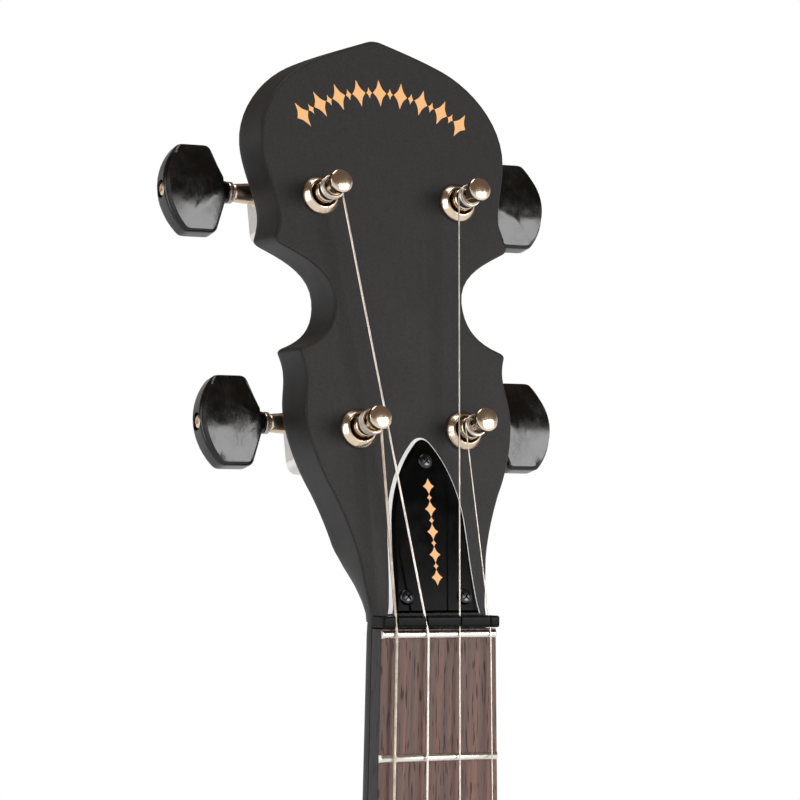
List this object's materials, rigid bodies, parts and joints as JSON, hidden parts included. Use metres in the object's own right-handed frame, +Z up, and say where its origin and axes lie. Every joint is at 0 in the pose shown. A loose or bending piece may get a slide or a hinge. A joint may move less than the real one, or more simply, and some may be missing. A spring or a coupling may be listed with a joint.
{
  "type": "banjo",
  "caption": "Upright short-scale open-back banjo: black scalloped peghead tilted back, geared tuners with black keystone buttons, rosewood board, round pot with hooks and tailpiece.",
  "frame": {"origin": "middle of the zero fret on the fingerboard's front plane, where a wall hanger's fork would sit behind the nut", "axes": "+Z up along the neck to the peghead tip, -Y out of the strings' side, +X to the viewer's right facing the strings"},
  "size_m": [0.304, 0.0845, 0.7901],
  "materials": {
    "black_satin_lacquer": "satin black lacquer over wood, very fine grain",
    "rosewood": "open-pored dark reddish-brown rosewood, satin",
    "nickel_plate": "polished nickel plate, warm",
    "black_nut": "polished black",
    "rod_steel": "plain steel",
    "brass_fitting": "machined brass",
    "gloss_cover": "gloss black over white and black plies, bevelled edge",
    "black_screw": "black plated steel",
    "button_black": "moulded gloss black with faint ripple",
    "string_steel": "bright string wire",
    "maple": "clear satin laminated maple",
    "bridge_maple": "bare maple with a dark top edge",
    "head_film": "frosted white drum film",
    "hoop_aluminium": "plain aluminium channel"
  },
  "bodies": {
    "frame": {"neck": "black_satin_lacquer", "fingerboard": "rosewood", "zero_fret": "nickel_plate", "nut": "black_nut", "truss_rod": "rod_steel", "truss_rod_nut": "brass_fitting", "truss_rod_cover": "gloss_cover", "cover_screw_tip": "black_screw", "cover_screw_left": "black_screw", "cover_screw_right": "black_screw", "post_bushing_lower_left": "nickel_plate", "gear_housing_lower_left": "nickel_plate", "post_bushing_lower_right": "nickel_plate", "gear_housing_lower_right": "nickel_plate", "post_bushing_upper_left": "nickel_plate", "gear_housing_upper_left": "nickel_plate", "post_bushing_upper_right": "nickel_plate", "gear_housing_upper_right": "nickel_plate", "rim": "maple", "tone_ring": "brass_fitting", "drum_head": "head_film", "flesh_hoop": "hoop_aluminium", "tension_hoop": "nickel_plate", "bracket_band": "nickel_plate", "coordinator_rod": "nickel_plate", "heel_lag_bolt": "rod_steel", "tail_bolt": "nickel_plate", "bridge": "bridge_maple", "tailpiece_base": "nickel_plate", "tailpiece_pin": "nickel_plate", "string_fourth": "string_steel", "string_third": "string_steel", "string_second": "string_steel", "string_first": "string_steel"},
    "key_lower_left": {"worm_shaft_lower_left": "nickel_plate", "tuner_button_lower_left": "button_black", "button_screw_lower_left": "nickel_plate"},
    "post_lower_left": {"string_post_lower_left": "nickel_plate", "worm_gear_lower_left": "brass_fitting", "string_winding_lower_left": "string_steel"},
    "key_lower_right": {"worm_shaft_lower_right": "nickel_plate", "tuner_button_lower_right": "button_black", "button_screw_lower_right": "nickel_plate"},
    "post_lower_right": {"string_post_lower_right": "nickel_plate", "worm_gear_lower_right": "brass_fitting", "string_winding_lower_right": "string_steel"},
    "key_upper_left": {"worm_shaft_upper_left": "nickel_plate", "tuner_button_upper_left": "button_black", "button_screw_upper_left": "nickel_plate"},
    "post_upper_left": {"string_post_upper_left": "nickel_plate", "worm_gear_upper_left": "brass_fitting", "string_winding_upper_left": "string_steel"},
    "key_upper_right": {"worm_shaft_upper_right": "nickel_plate", "tuner_button_upper_right": "button_black", "button_screw_upper_right": "nickel_plate"},
    "post_upper_right": {"string_post_upper_right": "nickel_plate", "worm_gear_upper_right": "brass_fitting", "string_winding_upper_right": "string_steel"},
    "lid": {"tailpiece_lid": "nickel_plate"}
  },
  "joints": [
    {"name": "turn_key_lower_left", "type": "hinge", "parent": "frame", "child": "key_lower_left", "pos_m": [-0.01472, 0.03561, 0.05177], "axis": [-1, 0, 0], "continuous": true},
    {"name": "turn_post_lower_left", "type": "hinge", "parent": "frame", "child": "post_lower_left", "pos_m": [-0.01472, 0.01547, 0.05013], "axis": [0, -0.9759, 0.2181], "continuous": true},
    {"name": "turn_key_lower_right", "type": "hinge", "parent": "frame", "child": "key_lower_right", "pos_m": [0.01472, 0.03561, 0.05177], "axis": [1, 0, 0], "continuous": true},
    {"name": "turn_post_lower_right", "type": "hinge", "parent": "frame", "child": "post_lower_right", "pos_m": [0.01472, 0.01547, 0.05013], "axis": [0, -0.9759, 0.2181], "continuous": true},
    {"name": "turn_key_upper_left", "type": "hinge", "parent": "frame", "child": "key_upper_left", "pos_m": [-0.01944, 0.04872, 0.11043], "axis": [-1, 0, 0], "continuous": true},
    {"name": "turn_post_upper_left", "type": "hinge", "parent": "frame", "child": "post_upper_left", "pos_m": [-0.01944, 0.02858, 0.10878], "axis": [0, -0.9759, 0.2181], "continuous": true},
    {"name": "turn_key_upper_right", "type": "hinge", "parent": "frame", "child": "key_upper_right", "pos_m": [0.01944, 0.04872, 0.11043], "axis": [1, 0, 0], "continuous": true},
    {"name": "turn_post_upper_right", "type": "hinge", "parent": "frame", "child": "post_upper_right", "pos_m": [0.01944, 0.02858, 0.10878], "axis": [0, -0.9759, 0.2181], "continuous": true},
    {"name": "lift_tailpiece_lid", "type": "hinge", "parent": "frame", "child": "lid", "pos_m": [0, -0.0007, -0.6317], "axis": [1, 0, 0], "range_deg": [0, 100]}
  ],
  "couplings": [
    {"joint": "turn_post_lower_left", "follows": "turn_key_lower_left", "ratio": 0.066667},
    {"joint": "turn_post_lower_right", "follows": "turn_key_lower_right", "ratio": 0.066667},
    {"joint": "turn_post_upper_left", "follows": "turn_key_upper_left", "ratio": 0.066667},
    {"joint": "turn_post_upper_right", "follows": "turn_key_upper_right", "ratio": 0.066667}
  ]
}
